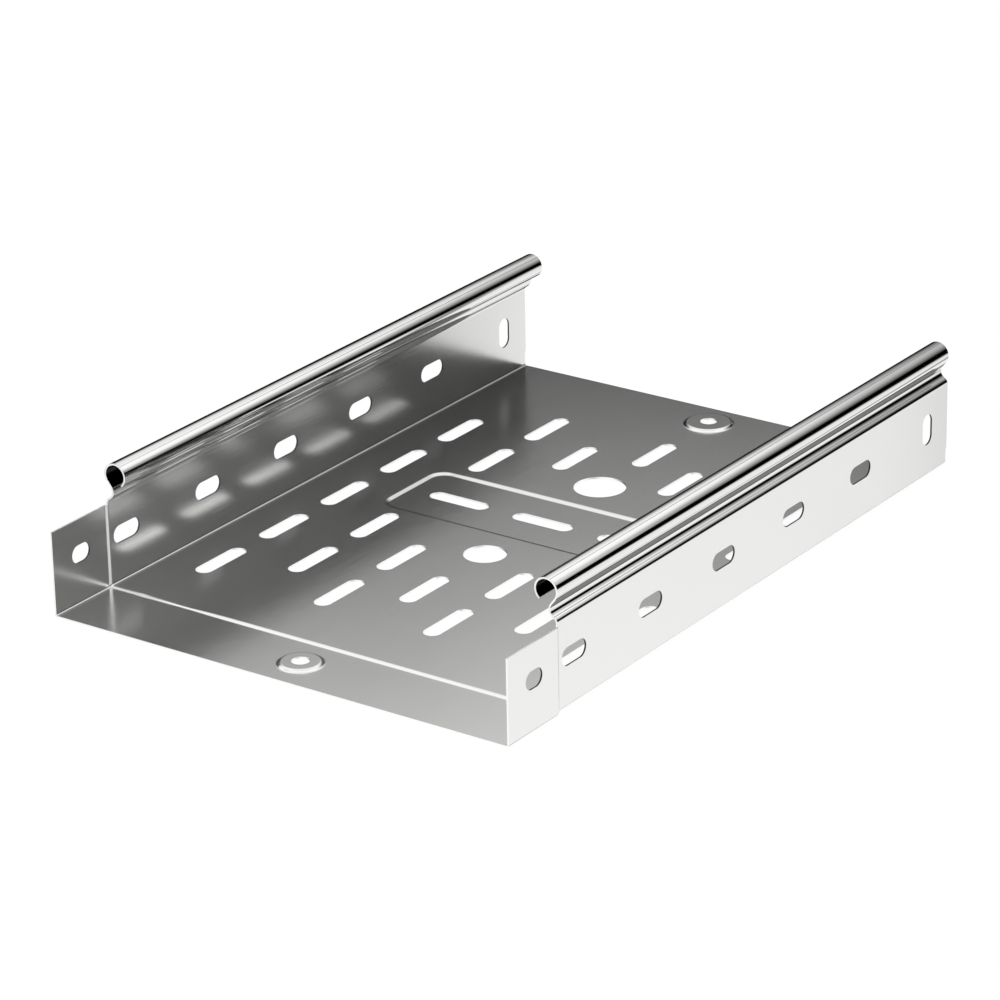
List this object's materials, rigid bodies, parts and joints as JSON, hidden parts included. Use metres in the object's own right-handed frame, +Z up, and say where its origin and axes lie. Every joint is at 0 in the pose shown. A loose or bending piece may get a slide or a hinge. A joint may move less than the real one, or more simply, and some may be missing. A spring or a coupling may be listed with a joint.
{
  "type": "perforated cable tray",
  "caption": "Straight perforated cable tray: a shallow channel of folded stainless sheet with rolled side rails, slotted base and walls, and a joggled spigot at one end.",
  "frame": {"origin": "on the floor at the middle of the tray's length and width", "axes": "+X across the tray, +Y along it away from the spigot, +Z up"},
  "size_m": [0.2014, 0.299, 0.0507],
  "materials": {
    "stainless_steel": "bright cold rolled"
  },
  "bodies": {
    "root": {"cable_tray": "stainless_steel"}
  },
  "joints": []
}
